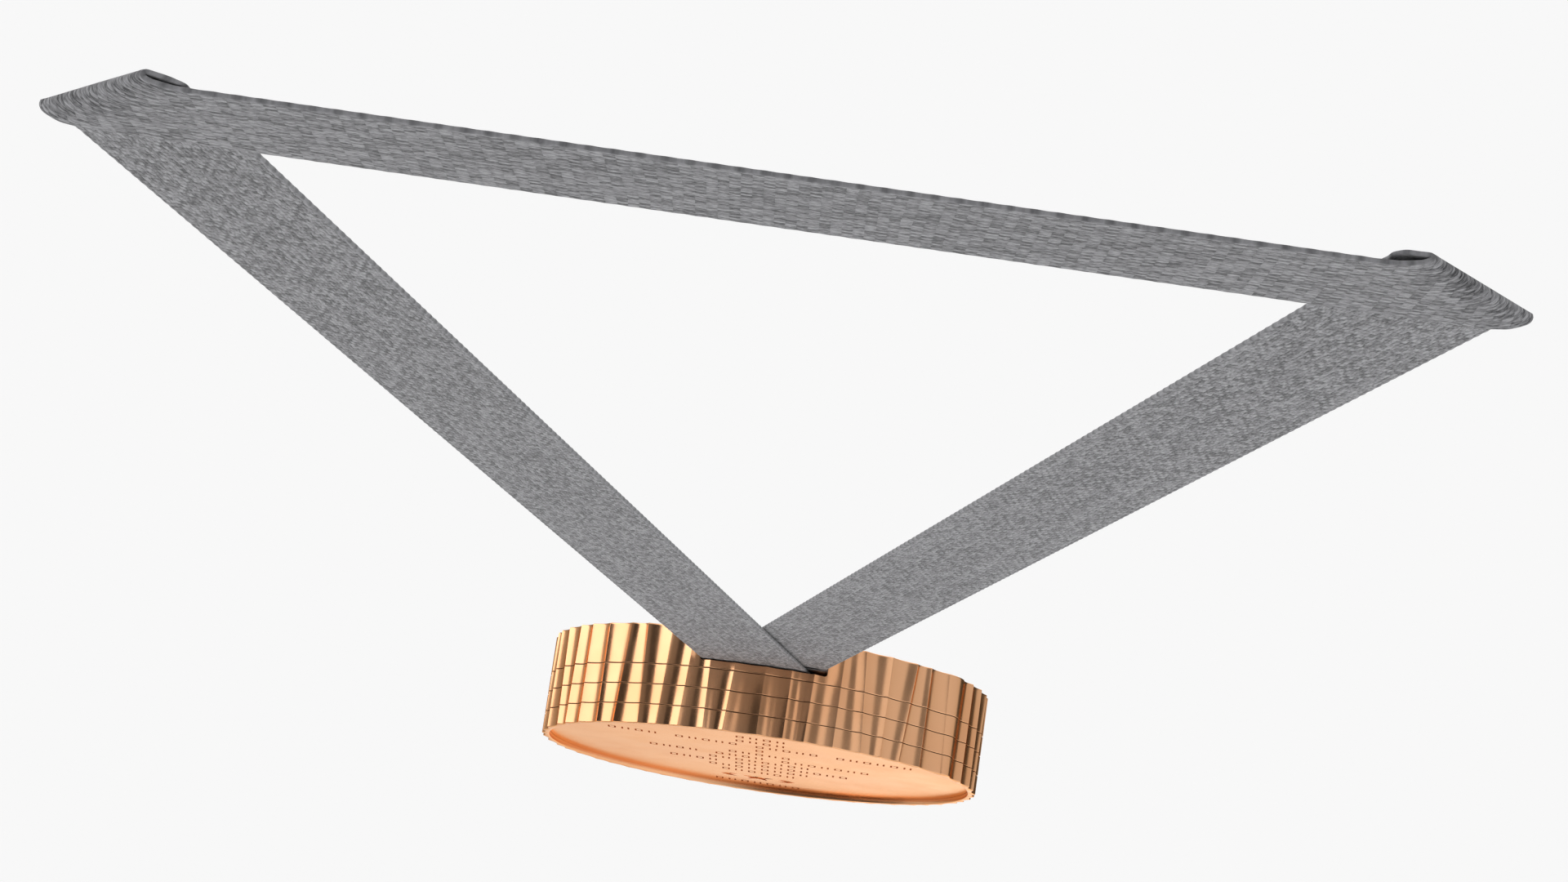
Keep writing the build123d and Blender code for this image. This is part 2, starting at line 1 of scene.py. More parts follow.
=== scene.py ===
"""Visual model of a fluted bronze finisher medal on a folded grey neck ribbon."""
import math

import bmesh
import bpy
import numpy as np
from mathutils import Matrix, Vector


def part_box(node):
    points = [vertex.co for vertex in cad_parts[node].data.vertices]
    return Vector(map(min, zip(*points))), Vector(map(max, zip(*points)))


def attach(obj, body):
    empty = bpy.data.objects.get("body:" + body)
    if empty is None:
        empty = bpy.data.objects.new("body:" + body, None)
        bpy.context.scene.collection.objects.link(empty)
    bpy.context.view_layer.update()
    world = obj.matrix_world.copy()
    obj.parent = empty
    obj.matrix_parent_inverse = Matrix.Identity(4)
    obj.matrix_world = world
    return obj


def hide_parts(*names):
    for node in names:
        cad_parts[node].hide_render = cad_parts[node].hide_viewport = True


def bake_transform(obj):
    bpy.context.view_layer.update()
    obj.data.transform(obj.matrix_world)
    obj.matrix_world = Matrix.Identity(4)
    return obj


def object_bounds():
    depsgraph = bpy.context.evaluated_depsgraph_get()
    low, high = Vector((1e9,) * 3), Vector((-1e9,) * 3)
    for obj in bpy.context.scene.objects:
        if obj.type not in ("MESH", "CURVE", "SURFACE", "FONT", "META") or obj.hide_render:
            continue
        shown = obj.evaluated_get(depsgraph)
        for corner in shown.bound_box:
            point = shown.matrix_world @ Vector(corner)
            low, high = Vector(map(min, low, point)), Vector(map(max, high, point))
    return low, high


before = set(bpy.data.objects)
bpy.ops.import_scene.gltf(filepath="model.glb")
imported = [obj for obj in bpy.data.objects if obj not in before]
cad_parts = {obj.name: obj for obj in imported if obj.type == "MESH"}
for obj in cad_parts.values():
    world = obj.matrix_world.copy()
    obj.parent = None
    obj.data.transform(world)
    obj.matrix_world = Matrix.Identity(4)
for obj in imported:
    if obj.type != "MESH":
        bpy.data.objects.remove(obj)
cad_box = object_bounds()

MM = 0.001

# ---------------------------------------------------------------- sizes, in mm
plate_low, plate_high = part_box("face_plate")
bar_low, bar_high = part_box("ribbon_bar")
CENTRE_X = (plate_low.x + plate_high.x) / 2 / MM
CENTRE_Z = (plate_low.z + plate_high.z) / 2 / MM
RECESS_DEPTH = 0.93
FACE_Y = plate_low.y / MM - RECESS_DEPTH
BAR_Y = (bar_low.y + bar_high.y) / 2 / MM
BAR_Z = (bar_low.z + bar_high.z) / 2 / MM

RADIUS = 42.0
LAYER = 3.76
BACK_START = 3 * LAYER
THICKNESS = BACK_START + 7.52
SEAM_WIDTH = 0.14
SEAM_RADIUS = 41.0
FLUTES = 54
FLUTE_DEPTH = 0.53
FLUTE_START = 37.33
FLUTE_PITCH = 360 / FLUTES
EDGE_SHIFT_FRONT = (-0.21, 0.11, 0.20, 0.09, -0.06, 0.11, 0.25, 0.06, 0.04,
                    0.34, 0.10, 0.11, 0.0, -0.19, 0.0, -0.10, 0.04, 0.05)
EDGE_SHIFT_BACK = (0.05, 0.12, -0.12, 0.09, 0.26, 0.11, 0.16, 0.06, 0.04,
                   0.13, 0.21, -0.08, -0.14, 0.0, -0.22, -0.04, 0.04, -0.07)
PLATE_RADIUS = 40.54
PLATE_THICKNESS = 1.2
BACK_PLATE_RADIUS = 39.0
BACK_POCKET = 1.1

# rounding of the edges
FRONT_ROUND = 0.12
SEAM_ROUND = 0.04
BACK_ROUND = 0.25
FRONT_POCKET_ROUND = 0.1
BACK_POCKET_ROUND = 0.15
SLOT_ROUND = 0.5
SHARP_ANGLE = 35.0

SLOT_SHIFT = 0.31
SLOT_HALF_WIDTH = 11.8
SLOT_HALF_HEIGHT = 2.2
SLOT_OVERSHOOT = 5.0

RIBBON_WIDTH = 19.35
RIBBON_HALF = RIBBON_WIDTH / 2
RIBBON_THICK = 0.55
LEAN = math.radians(12.06)
TILT = math.radians(0.92)
WRAP_RADIUS = 1.575
LEG_GAP = 0.12
LEFT_LEG_Y = BAR_Y - WRAP_RADIUS - RIBBON_THICK / 2
RIGHT_LEG_Y = LEFT_LEG_Y + RIBBON_THICK + LEG_GAP
LEG_LENGTH = -BAR_Z / math.cos(LEAN)
FOLD_MIDDLE = LEG_LENGTH * math.sin(LEAN)
BEND_Z = CENTRE_Z + RADIUS + 0.6


# ------------------------------------------------------------------ mesh tools
def mesh_piece(name, points, faces, body, material, sharp=SHARP_ANGLE):
    """A smooth-shaded mesh from points in mm, riding on a body."""
    mesh = bpy.data.meshes.new(name)
    mesh.from_pydata([(x * MM, y * MM, z * MM) for x, y, z in points], [], faces)
    mesh.validate()
    mesh.update()
    piece = bpy.data.objects.new(name, mesh)
    bpy.context.scene.collection.objects.link(piece)
    finish_mesh(piece, sharp)
    mesh.materials.append(material)
    if body:
        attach(piece, body)
    return piece


def finish_mesh(piece, sharp):
    """Outward normals, smooth shading, and sharp edges above an angle."""
    work = bmesh.new()
    work.from_mesh(piece.data)
    bmesh.ops.recalc_face_normals(work, faces=work.faces)
    work.to_mesh(piece.data)
    work.free()
    piece.data.shade_smooth()
    piece.data.set_sharp_from_angle(angle=math.radians(sharp))


def stitch(rings, first_cap=None, last_cap=None):
    """Faces between rings of equal length, with optional fan caps."""
    count = len(rings[0])
    points = [p for ring in rings for p in ring]
    faces = []
    for k in range(len(rings) - 1):
        a, b = k * count, (k + 1) * count
        for i in range(count):
            j = (i + 1) % count
            faces.append((a + i, a + j, b + j, b + i))
    for cap, start in ((first_cap, 0), (last_cap, (len(rings) - 1) * count)):
        if cap is None:
            continue
        points.append(cap)
        tip = len(points) - 1
        for i in range(count):
            faces.append((start + i, start + (i + 1) % count, tip))
    return points, faces


# --------------------------------------------------------------- node tools
def new_material(name):
    material = bpy.data.materials.new(name)
    material.use_nodes = True
    tree = material.node_tree
    shader = tree.nodes["Principled BSDF"]
    return material, tree, shader


def add_node(tree, kind, inputs=None, **settings):
    node = tree.nodes.new(kind)
    for key, value in settings.items():
        setattr(node, key, value)
    for key, value in (inputs or {}).items():
        socket = node.inputs[key]
        if isinstance(value, bpy.types.NodeSocket):
            tree.links.new(value, socket)
        else:
            socket.default_value = value
    return node


def math_node(tree, operation, *values, clamp=False):
    node = tree.nodes.new("ShaderNodeMath")
    node.operation = operation
    node.use_clamp = clamp
    for index, value in enumerate(values):
        if isinstance(value, bpy.types.NodeSocket):
            tree.links.new(value, node.inputs[index])
        else:
            node.inputs[index].default_value = value
    return node.outputs[0]


def map_range(tree, value, a, b, c, d, smooth=True):
    node = add_node(tree, "ShaderNodeMapRange", {
        "Value": value, "From Min": a, "From Max": b, "To Min": c, "To Max": d,
    }, interpolation_type="SMOOTHSTEP" if smooth else "LINEAR")
    return node.outputs["Result"]


def noise(tree, vector, scale, detail=2.0, roughness=0.5):
    node = add_node(tree, "ShaderNodeTexNoise", {
        "Vector": vector, "Scale": scale, "Detail": detail, "Roughness": roughness,
    })
    return node.outputs["Fac"]


def mix_colour(tree, factor, a, b, mode="MIX"):
    node = tree.nodes.new("ShaderNodeMix")
    node.data_type = "RGBA"
    node.blend_type = mode
    for socket, value in ((node.inputs[0], factor), (node.inputs[6], a), (node.inputs[7], b)):
        if isinstance(value, bpy.types.NodeSocket):
            tree.links.new(value, socket)
        else:
            socket.default_value = value
    return node.outputs[2]


# ------------------------------------------------------------------ materials
BRONZE = (0.92, 0.50, 0.27, 1)
BRONZE_WARM = (0.86, 0.43, 0.215, 1)
BRONZE_OLD = (0.20, 0.095, 0.045, 1)
BRONZE_EDGE = (0.90, 0.665, 0.45, 1)


def bronze(name, rough, grain, grain_scale, groove=None):
    """Cast bronze: slow colour drift, uneven polish, fine grain, dark hollows."""
    material, tree, shader = new_material(name)
    place = add_node(tree, "ShaderNodeTexCoord").outputs["Object"]
    drift = noise(tree, place, 55.0, 3.0)
    fine = noise(tree, place, grain_scale, 4.0, 0.62)
    colour = mix_colour(tree, map_range(tree, drift, 0.35, 0.7, 0, 1), BRONZE, BRONZE_WARM)
    polish = map_range(tree, noise(tree, place, 130.0, 4.0), 0.3, 0.7, rough * 0.85, rough * 1.2)
    if groove:
        depth = add_node(tree, "ShaderNodeSeparateXYZ", {"Vector": place}).outputs["Y"]
        dark = groove(tree, depth, place)
        colour = mix_colour(tree, dark, colour, BRONZE_OLD)
        polish = math_node(tree, "ADD", polish, math_node(tree, "MULTIPLY", dark, 0.35))
    tree.links.new(colour, shader.inputs["Base Color"])
    tree.links.new(polish, shader.inputs["Roughness"])
    shader.inputs["Metallic"].default_value = 1.0
    shader.inputs["Specular Tint"].default_value = BRONZE_EDGE
    bump = add_node(tree, "ShaderNodeBump", {
        "Strength": 1.0, "Distance": grain, "Height": fine,
    })
    tree.links.new(bump.outputs["Normal"], shader.inputs["Normal"])
    return material


def seam_groove(tree, depth, place):
    """1 in the three joint grooves round the rim."""
    total = None
    for index in (1, 2, 3):
        middle = (FACE_Y + index * LAYER - SEAM_WIDTH / 2) * MM
        off = math_node(tree, "ABSOLUTE", math_node(tree, "SUBTRACT", depth, middle))
        mark = map_range(tree, off, 0.06 * MM, 0.09 * MM, 1, 0)
        total = mark if total is None else math_node(tree, "MAXIMUM", total, mark)
    return total


def engraving(tree, depth, place):
    """1 on the floors of the engraved marks, a little below the plate."""
    surface = (FACE_Y + RECESS_DEPTH) * MM
    return map_range(tree, depth, surface + 0.05 * MM, surface + 0.16 * MM, 0, 0.08)


def back_engraving(tree, depth, place):
    surface = (FACE_Y + THICKNESS - 0.4) * MM
    return map_range(tree, depth, surface - 0.16 * MM, surface - 0.05 * MM, 0.8, 0)


RIM = bronze("polished bronze rim", 0.2, 0.000006, 2600.0, seam_groove)
FACE = bronze("satin bronze face", 0.17, 0.000006, 5200.0, engraving)
BACK = bronze("satin bronze back", 0.3, 0.00002, 5200.0, back_engraving)


def steel(name):
    material, tree, shader = new_material(name)
    place = add_node(tree, "ShaderNodeTexCoord").outputs["Object"]
    stretch = add_node(tree, "ShaderNodeMapping", {"Vector": place, "Scale": (0.06, 1, 1)})
    lines = noise(tree, stretch.outputs[0], 4200.0, 3.0)
    tone = mix_colour(tree, lines, (0.46, 0.46, 0.47, 1), (0.62, 0.62, 0.62, 1))
    tree.links.new(tone, shader.inputs["Base Color"])
    tree.links.new(map_range(tree, lines, 0.3, 0.7, 0.24, 0.38), shader.inputs["Roughness"])
    shader.inputs["Metallic"].default_value = 1.0
    bump = add_node(tree, "ShaderNodeBump", {
        "Strength": 1.0, "Distance": 0.00001, "Height": lines,
    })
    tree.links.new(bump.outputs["Normal"], shader.inputs["Normal"])
    return material


STEEL = steel("brushed steel")

WEAVE_DARK = (0.035, 0.035, 0.038, 1)
WEAVE_LIGHT = (0.315, 0.315, 0.328, 1)
WEFT_PITCH = 1.22
WARP_PITCH = 0.571
SELVEDGE_PITCH = 2 * WEFT_PITCH
SELVEDGE_START = 0.42
SELVEDGE_FULL = 0.16
WARP_SWAY = 0.5
WEFT_SLIDE = 0.16
WEFT_HEIGHT = 0.45
# share of each source of grey: the relief as painted shade (weave hollows darker, raised
# yarn lighter), single floats, whole ends, whole picks, slow patches and single fibres
PAINTED_RELIEF_SHADE, FLOAT_TONE, END_TONE, PICK_TONE, PATCH_TONE, FIBRE_TONE = (
    0.5, 0.7, 0.14, 0.03, 0.18, 2.6)
TONE_RANGE = (-0.25, 0.86)
WEAVE_RELIEF = 0.00011


def ribbon_weave():
    """Grey melange webbing: a plain weave of fine warp and thick weft, in real mm."""
    material, tree, shader = new_material("grey melange webbing")

    def op(kind, *values):
        return math_node(tree, kind, *values)

    def cell_noise(x, y):
        key = add_node(tree, "ShaderNodeCombineXYZ", {"X": x, "Y": y})
        return add_node(tree, "ShaderNodeTexWhiteNoise", {"Vector": key.outputs[0]},
                        noise_dimensions="2D").outputs["Value"]

    uv = add_node(tree, "ShaderNodeUVMap", uv_map="weave").outputs["UV"]
    parts = add_node(tree, "ShaderNodeSeparateXYZ", {"Vector": uv})
    across, along = parts.outputs["X"], parts.outputs["Y"]
    sway = op("MULTIPLY", op("SUBTRACT", noise(tree, uv, 0.45, 2.0), 0.5), WARP_SWAY)
    slide = op("MULTIPLY", op("SUBTRACT", noise(tree, uv, 0.9, 1.0), 0.5), WEFT_SLIDE)
    weft = op("DIVIDE", op("ADD", along, slide), WEFT_PITCH)
    warp = op("DIVIDE", op("ADD", across, sway), WARP_PITCH)
    column, row = op("FLOOR", weft), op("FLOOR", warp)
    in_weft, in_warp = op("FRACT", weft), op("FRACT", warp)
    # each warp end rides over one pick and under the next, out of step with its neighbour
    wave = op("SINE", op("MULTIPLY", op("ADD", weft, row), math.pi))
    raised = op("ADD", op("MULTIPLY", wave, 0.5), 0.5)
    round_warp = op("POWER", op("SINE", op("MULTIPLY", in_warp, math.pi)), 0.6)
    round_weft = op("SINE", op("MULTIPLY", in_weft, math.pi))
    height = op("ADD", op("MULTIPLY", round_warp, raised),
                op("MULTIPLY", op("MULTIPLY", round_weft, WEFT_HEIGHT),
                   op("SUBTRACT", 1.0, raised)))
    yarn = cell_noise(row, column)
    strand = cell_noise(row, 7.0)
    pick = cell_noise(column, 3.0)
    fibre_place = add_node(tree, "ShaderNodeMapping", {"Vector": uv, "Scale": (1, 0.3, 1)})
    fibre = noise(tree, fibre_place.outputs[0], 4.2, 3.0, 0.62)
    patch = noise(tree, uv, 0.3, 2.0)
    # painted shade: grey darker in the hollows of the weave and lighter on the raised yarn, by
    # relief height
    tone = op("MULTIPLY", height, PAINTED_RELIEF_SHADE)
    for layer, weight in ((yarn, FLOAT_TONE), (strand, END_TONE), (pick, PICK_TONE),
                          (patch, PATCH_TONE), (fibre, FIBRE_TONE)):
        tone = op("ADD", tone, op("MULTIPLY", op("SUBTRACT", layer, 0.5), weight))
    tone = map_range(tree, tone, *TONE_RANGE, 0, 1, smooth=False)
    colour = mix_colour(tree, tone, WEAVE_DARK, WEAVE_LIGHT)
    # selvedge: longer loops of weft over the two edges
    edge = op("ABSOLUTE", across)
    rim = map_range(tree, edge, RIBBON_HALF - SELVEDGE_START,
                    RIBBON_HALF - SELVEDGE_FULL, 0, 1)
    loop = op("ABSOLUTE", op("SUBTRACT", op("FRACT", op("DIVIDE", along, SELVEDGE_PITCH)), 0.5))
    loop = map_range(tree, loop, 0.22, 0.44, 1, 0)
    beat = noise(tree, uv, 0.8, 2.0)
    loop = op("MULTIPLY", loop, map_range(tree, beat, 0.3, 0.7, 0.55, 1.1))
    loop = op("ADD", op("MULTIPLY", loop, 0.38), op("MULTIPLY", fibre, 0.75))
    edge_colour = mix_colour(tree, loop, WEAVE_DARK, WEAVE_LIGHT)
    colour = mix_colour(tree, rim, colour, edge_colour)
    tree.links.new(colour, shader.inputs["Base Color"])
    shader.inputs["Roughness"].default_value = 0.82
    shader.inputs["Sheen Weight"].default_value = 0.25
    shader.inputs["Sheen Roughness"].default_value = 0.4
    shader.inputs["Specular IOR Level"].default_value = 0.25
    relief = op("ADD", op("MULTIPLY", height, 0.8), op("MULTIPLY", fibre, 0.5))
    bump = add_node(tree, "ShaderNodeBump", {
        "Strength": 0.9, "Distance": WEAVE_RELIEF, "Height": relief,
    })
    tree.links.new(bump.outputs["Normal"], shader.inputs["Normal"])
    return material


WEAVE = ribbon_weave()


# ---------------------------------------------------------------- fluted stack
TIP_DROP = 0.03
FLUTE_STEPS = (-0.985, -0.96, -0.8, -0.6, -0.4, -0.2, 0.0, 0.2, 0.4, 0.6, 0.8, 0.96, 0.985)


def edge_angle(index, depth):
    """Angle of the tip before a flute, which drifts from front to back."""
    place = index % FLUTES % len(EDGE_SHIFT_FRONT)
    front, back = EDGE_SHIFT_FRONT[place], EDGE_SHIFT_BACK[place]
    shift = front + (back - front) * depth / THICKNESS
    return math.radians(FLUTE_START + (index + shift) * FLUTE_PITCH)


def outline(depth, inset=0.0):
    """Fluted ring at a depth behind the face, pulled in by inset."""
    ring = []
    for index in range(FLUTES):
        start, end = edge_angle(index, depth), edge_angle(index + 1, depth)
        if index == FLUTES - 1:
            end += 2 * math.pi
        half = (end - start) / 2
        middle = (start + end) / 2
        chord = RADIUS * math.sin(half)
        arc = (chord ** 2 + FLUTE_DEPTH ** 2) / (2 * FLUTE_DEPTH)
        swing = math.asin(chord / arc)
        tip = RADIUS - TIP_DROP - inset
        ring.append((tip * math.cos(start), tip * math.sin(start)))
        for step in FLUTE_STEPS:
            along = arc * math.sin(step * swing)
            low = arc * (math.cos(step * swing) - math.cos(swing))
            out = RADIUS * math.cos(half) - low
            x = out * math.cos(middle) - along * math.sin(middle)
            z = out * math.sin(middle) + along * math.cos(middle)
            shrink = 1 - inset / math.hypot(x, z)
            ring.append((x * shrink, z * shrink))
    return [(CENTRE_X + x, FACE_Y + depth, CENTRE_Z + z) for x, z in ring]


def circle(radius, depth):
    """Round ring with a point under each point of the fluted ring at that depth."""
    ring = []
    for x, y, z in outline(depth):
        x, z = x - CENTRE_X, z - CENTRE_Z
        size = radius / math.hypot(x, z)
        ring.append((CENTRE_X + x * size, y, CENTRE_Z + z * size))
    return ring


def axis_point(depth):
    return (CENTRE_X, FACE_Y + depth, CENTRE_Z)


def edge_round(depth, size, into):
    """Three fluted rings that round an outer edge; into is +1 from front, -1 at back."""
    rings = []
    for turn in (0.0, 45.0, 90.0):
        a = math.radians(turn)
        rings.append(outline(depth + into * size * (1 - math.sin(a)), size * (1 - math.cos(a))))
    return rings[::-1] if into > 0 else rings


def wall(front, back, front_round, back_round):
    """Fluted rings of a layer's outer wall, with both of its edges rounded."""
    rings = edge_round(front, front_round, 1)
    a, b = front + front_round, back - back_round
    for share in (0.02, 0.35, 0.65, 0.98):
        rings.append(outline(a + (b - a) * share))
    return rings + edge_round(back, back_round, -1)


def inner_round(radius, depth, size, into):
    """Three round rings that round an inner edge of a pocket."""
    rings = []
    for turn in (90.0, 45.0, 0.0):
        a = math.radians(turn)
        rings.append(circle(radius + size * (1 - math.cos(a)),
                            depth + into * size * (1 - math.sin(a))))
    return rings


def seam_end(depth):
    """The two round rings that close the thin joint behind a layer."""
    return [circle(SEAM_RADIUS, depth - SEAM_WIDTH), circle(SEAM_RADIUS, depth)]


# front layer: pocket, rim, wall, seam
front_rings = [circle(PLATE_RADIUS, RECESS_DEPTH + PLATE_THICKNESS),
               circle(PLATE_RADIUS, RECESS_DEPTH)]
front_rings += inner_round(PLATE_RADIUS, 0.0, FRONT_POCKET_ROUND, 1)[::-1]
front_rings += wall(0.0, LAYER - SEAM_WIDTH, FRONT_ROUND, SEAM_ROUND) + seam_end(LAYER)
points, faces = stitch(front_rings, axis_point(RECESS_DEPTH + PLATE_THICKNESS),
                       axis_point(LAYER))
front_layer = mesh_piece("rim_front_layer", points, faces, "medal", RIM)
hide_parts("front_layer")

for index, node in ((1, "second_layer"), (2, "third_layer")):
    start, end = index * LAYER, (index + 1) * LAYER
    rings = wall(start, end - SEAM_WIDTH, SEAM_ROUND, SEAM_ROUND) + seam_end(end)
    points, faces = stitch(rings, axis_point(start), axis_point(end))
    piece = mesh_piece("rim_" + node, points, faces, "medal", RIM)
    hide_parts(node)

# back layer: wall, rounded back edge, pocket for the back plate
back_rings = wall(BACK_START, THICKNESS, SEAM_ROUND, BACK_ROUND)
back_rings += inner_round(BACK_PLATE_RADIUS, THICKNESS, BACK_POCKET_ROUND, -1)
back_rings += [circle(BACK_PLATE_RADIUS, THICKNESS - BACK_POCKET)]
points, faces = stitch(back_rings, axis_point(BACK_START),
                       axis_point(THICKNESS - BACK_POCKET))
back_layer = mesh_piece("rim_back_layer", points, faces, None, RIM)


def rounded_box(name, low, high, corner, steps=4):
    """Closed box with its four long edges (along Z) rounded, for cutting."""
    ring = []
    left, right = low[0] + corner, high[0] - corner
    near, far = low[1] + corner, high[1] - corner
    for cx, cy, start in ((right, far, 0), (left, far, 90), (left, near, 180), (right, near, 270)):
        for k in range(steps + 1):
            a = math.radians(start + 90 * k / steps)
            ring.append((cx + corner * math.cos(a), cy + corner * math.sin(a)))
    rings = [[(x, y, z) for x, y in ring] for z in (low[2], high[2])]
    points, faces = stitch(rings)
    count = len(ring)
    faces += [tuple(range(count)), tuple(range(count, 2 * count))]
    mesh = bpy.data.meshes.new(name)
    mesh.from_pydata([(x * MM, y * MM, z * MM) for x, y, z in points], [], faces)
    box = bpy.data.objects.new(name, mesh)
    bpy.context.scene.collection.objects.link(box)
    finish_mesh(box, 30)
    return box


cutter = rounded_box(
    "slot_cutter",
    (SLOT_SHIFT - SLOT_HALF_WIDTH, BAR_Y - SLOT_HALF_HEIGHT, BAR_Z - SLOT_HALF_HEIGHT),
    (SLOT_SHIFT + SLOT_HALF_WIDTH, BAR_Y + SLOT_HALF_HEIGHT, CENTRE_Z + RADIUS + SLOT_OVERSHOOT),
    SLOT_ROUND)
cut = back_layer.modifiers.new("slot", "BOOLEAN")
cut.operation = "DIFFERENCE"
cut.solver = "EXACT"
cut.object = cutter
bpy.context.view_layer.update()
cut_mesh = bpy.data.meshes.new_from_object(
    back_layer.evaluated_get(bpy.context.evaluated_depsgraph_get()))
back_layer.modifiers.clear()
old_mesh = back_layer.data
back_layer.data = cut_mesh
bpy.data.meshes.remove(old_mesh)
bpy.data.objects.remove(cutter)
back_layer.data.shade_smooth()
back_layer.data.set_sharp_from_angle(angle=math.radians(SHARP_ANGLE))
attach(back_layer, "medal")
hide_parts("back_layer")

# ---------------------------------------------------- CAD nodes with new finish
for node, material, slot in (
        ("face_plate", FACE, "bronze_face"), ("back_plate", BACK, "bronze_back"),
        ("back_screws", STEEL, "steel"), ("dowel_pins", STEEL, "steel"),
        ("ribbon_bar", STEEL, "steel")):
    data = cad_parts[node].data
    data.materials.clear()
    data.materials.append(material)


# --------------------------------------------------------------------- ribbon
# Flat coordinates: v runs along the ribbon from the middle of the neck, u across it.
FOLD_SLOPE = math.radians(90 - 51.03)
FOLD_OUT = np.array((math.cos(FOLD_SLOPE), math.sin(FOLD_SLOPE)))
FOLD_ALONG = np.array((-math.sin(FOLD_SLOPE), math.cos(FOLD_SLOPE)))
FOLD_REACH = 46.0
LOOP_SPAN = 4.5
EDGE_TURN = 1.2
LOOP_STEPS = 31
WRAP_LENGTH = WRAP_RADIUS * math.pi / 2
RIBBON_END = FOLD_MIDDLE + LEG_LENGTH + WRAP_LENGTH
# at the top and bottom edge of each loop: how far it stands beyond its fold line,
# the depth of its tip, and how far its back arm swells past the tip
LOOPS = {-1: ((3.4, 1.0, 0.8), (2.2, 1.55, 0.5)),
         1: ((2.8, 1.15, 0.3), (1.6, 1.45, 0.3))}


def smooth(value, low, high):
    """0 below low, 1 above high, and an eased step between."""
    t = np.clip((value - low) / (high - low), 0, 1)
    return t * t * (3 - 2 * t)


def bezier(p, t):
    """Point at t on the cubic curve with four control values."""
    s = 1 - t
    return p[0] * s ** 3 + 3 * p[1] * s * s * t + 3 * p[2] * s * t * t + p[3] * t ** 3


def ribbon_point(side, u, v):
    """Middle surface of the ribbon: arrays of x, y, z in mm."""
    leg_y = (LEFT_LEG_Y if side < 0 else RIGHT_LEG_Y) + RIBBON_THICK / 2
    out = (v - FOLD_MIDDLE) * FOLD_OUT[0] + u * FOLD_OUT[1]
    run = (v - FOLD_MIDDLE) * FOLD_ALONG[0] + u * FOLD_ALONG[1]
    share = np.clip(run / (2 * RIBBON_HALF / math.cos(FOLD_SLOPE)) + 0.5, 0, 1)
    reach, tip_y, swell = (low + (top - low) * share for top, low in zip(*LOOPS[side]))
    front_arm = out < 0
    near = 1 - np.clip(np.abs(out) / FOLD_REACH, 0, 1)
    flat_h = -np.abs(out) * FOLD_OUT[1] + run * FOLD_ALONG[1]
    arm_y = np.where(front_arm, -RIBBON_THICK / 2 + flat_h * math.tan(TILT), leg_y)
    rise = tip_y - arm_y
    start = reach - LOOP_SPAN
    zero = np.zeros_like(out)
    q_shape = [start, start + 0.55 * LOOP_SPAN, reach, reach]
    y_shape = [zero, zero, np.where(front_arm, 0.45 * rise, rise + swell), rise]
    steps = np.linspace(0, 1, LOOP_STEPS)
    q_line = np.array([zero - FOLD_REACH] + [bezier(q_shape, t) for t in steps])
    y_line = np.array([zero] + [bezier(y_shape, t) for t in steps])
    length = np.sqrt(np.diff(q_line, axis=0) ** 2 + np.diff(y_line, axis=0) ** 2)
    length = np.concatenate([zero[None], np.cumsum(length, axis=0)])
    want = near * length[-1]
    index = np.clip((length < want[None]).sum(0) - 1, 0, len(length) - 2)

    def pick(table, k):
        return np.take_along_axis(table, k[None], 0)[0]

    low, high = pick(length, index), pick(length, index + 1)
    part = np.clip((want - low) / np.maximum(high - low, 1e-9), 0, 1)
    q = pick(q_line, index) * (1 - part) + pick(q_line, index + 1) * part
    lift = pick(y_line, index) * (1 - part) + pick(y_line, index + 1) * part
    q = np.where(near > 0, q, -np.abs(out))
    # the front edges run straight to the tip, the back edges start down the leg
    past = np.where(np.abs(q) < EDGE_TURN, (q * q / EDGE_TURN + EDGE_TURN) / 2, np.abs(q))
    slide = np.where(front_arm, q, q + (past - q) * (1 - smooth(q, 0.6 * reach, reach)))
    run = np.where(near > 0, (u - slide * FOLD_OUT[1]) / FOLD_ALONG[1], run)
    x = FOLD_MIDDLE + q * FOLD_OUT[0] + run * FOLD_ALONG[0]
    h = q * FOLD_OUT[1] + run * FOLD_ALONG[1]
    y = arm_y + np.where(near > 0, lift, 0)
    # down to the slot, then round the bar
    leg = out > 0
    if side > 0:
        sway = smooth(BEND_Z - h, 0, BEND_Z - BAR_Z)
        y = np.where(leg & (h < BEND_Z), leg_y + (BAR_Y + WRAP_RADIUS - leg_y) * sway, y)
    below = leg & (h < BAR_Z)
    turn = np.clip((BAR_Z - h) / WRAP_RADIUS, 0, math.pi / 2)
    y = np.where(below, BAR_Y + side * WRAP_RADIUS * np.cos(turn), y)
    z = np.where(below, BAR_Z - WRAP_RADIUS * np.sin(turn), h)
    return np.stack([side * x, y, z], -1)


ROW_STEP = 0.61
FINE_STEP = 0.2
FINE_REACH = 8
# where along the half ribbon the mesh rows turn to lie along the fold, turn back, and
# turn to lie along the bar
TO_FOLD, FROM_FOLD, TO_BAR = (12, 45), (98, 140), (300, 390)
PLAIN_INSET = 1.3
PLAIN_COLUMNS = 19
SELVEDGE_DEPTH = 0.9
SELVEDGE_THICKEN = 0.015
SELVEDGE_OUT = 0.04
EDGE_INSETS = (0.0, 0.05, 0.15, 0.32, 0.7)
EDGE_HALVES = (0.13, 0.21, 0.265, 0.285, 0.285)


def ribbon_rows():
    """(v, skew) of each mesh row of one half, skewed to lie along the fold and the bar."""
    rows = []
    v = 0.0
    while v < RIBBON_END:
        skew = -math.tan(FOLD_SLOPE) * (smooth(v, *TO_FOLD) - smooth(v, *FROM_FOLD))
        skew += math.tan(LEAN) * smooth(v, *TO_BAR)
        rows.append((v, float(skew)))
        v += FINE_STEP if abs(v - FOLD_MIDDLE) < FINE_REACH else ROW_STEP
    rows.append((RIBBON_END, math.tan(LEAN)))
    return rows


